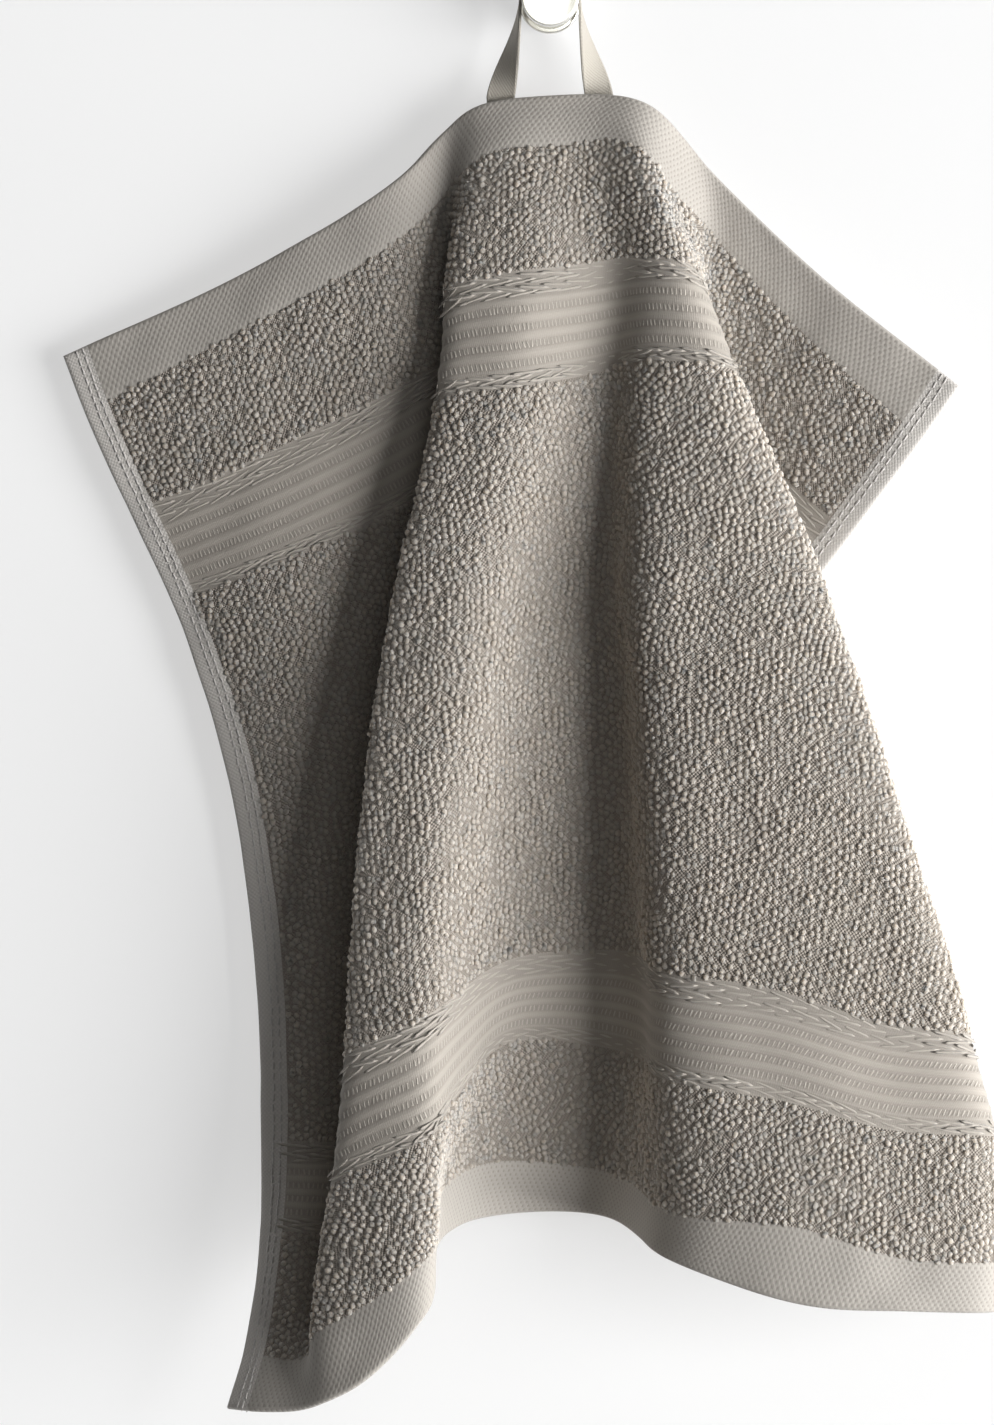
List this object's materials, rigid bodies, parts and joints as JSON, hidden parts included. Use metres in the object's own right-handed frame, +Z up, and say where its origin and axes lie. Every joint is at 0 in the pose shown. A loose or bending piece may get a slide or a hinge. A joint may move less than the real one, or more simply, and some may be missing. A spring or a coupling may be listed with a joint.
{
  "type": "face towel on wall hook",
  "caption": "Terry face towel draped in soft vertical folds from a sewn tape loop on a short round metal wall hook.",
  "frame": {"origin": "centre of the hook's flat back face, on the wall plane", "axes": "+Y into the wall, +Z up along the hanging cloth, +X to the viewer's right"},
  "size_m": [0.2386, 0.0557, 0.3591],
  "materials": {
    "terry": "looped cotton terry with flat-woven borders and hems",
    "tape": "narrow twill-woven cotton tape",
    "metal": "polished plated metal"
  },
  "bodies": {
    "root": {"towel": "terry", "hanging_loop": "tape", "hook": "metal"}
  },
  "joints": []
}
